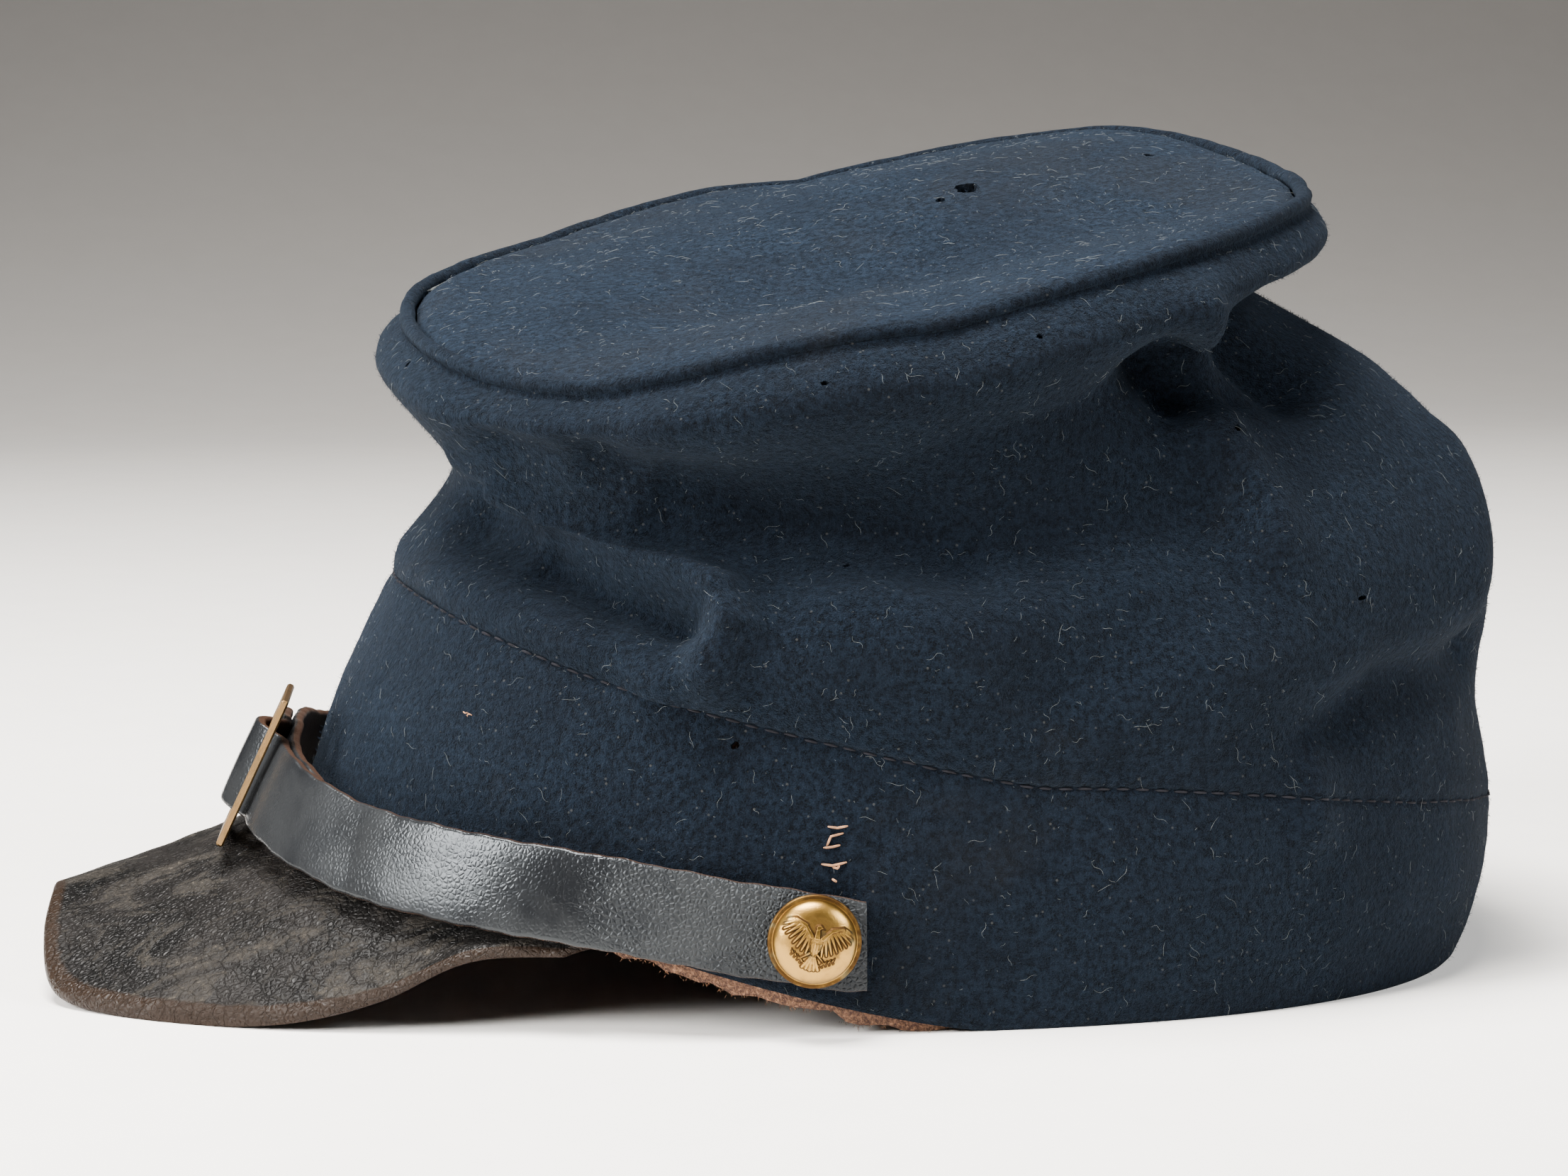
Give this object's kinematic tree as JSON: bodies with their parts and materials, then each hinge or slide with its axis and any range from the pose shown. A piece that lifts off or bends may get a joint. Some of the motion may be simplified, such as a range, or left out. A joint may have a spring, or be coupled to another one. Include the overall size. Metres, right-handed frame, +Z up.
{
  "type": "kepi cap",
  "caption": "Soft blue wool kepi cap with a slouched flat crown, a black leather peak, a buckled chin strap and domed brass side buttons, resting on a surface.",
  "frame": {"origin": "bottom centre of the cap's bounding box, on the surface that it rests on", "axes": "+Z up from the surface, -Y towards the peak at the front, +X towards the wearer's left"},
  "size_m": [0.1754, 0.2569, 0.1436],
  "materials": {
    "wool": "felted dark blue wool",
    "peak_leather": "worn black leather",
    "strap_leather": "worn dark leather",
    "sweat_leather": "aged tan leather",
    "brass": "tarnished"
  },
  "bodies": {
    "root": {"band": "wool", "crown_side": "wool", "crown_top": "wool", "welt": "wool", "sweatband": "sweat_leather", "peak": "peak_leather", "strap_left": "strap_leather", "strap_right": "strap_leather", "buckle": "brass", "button_left": "brass", "button_right": "brass"}
  },
  "joints": []
}
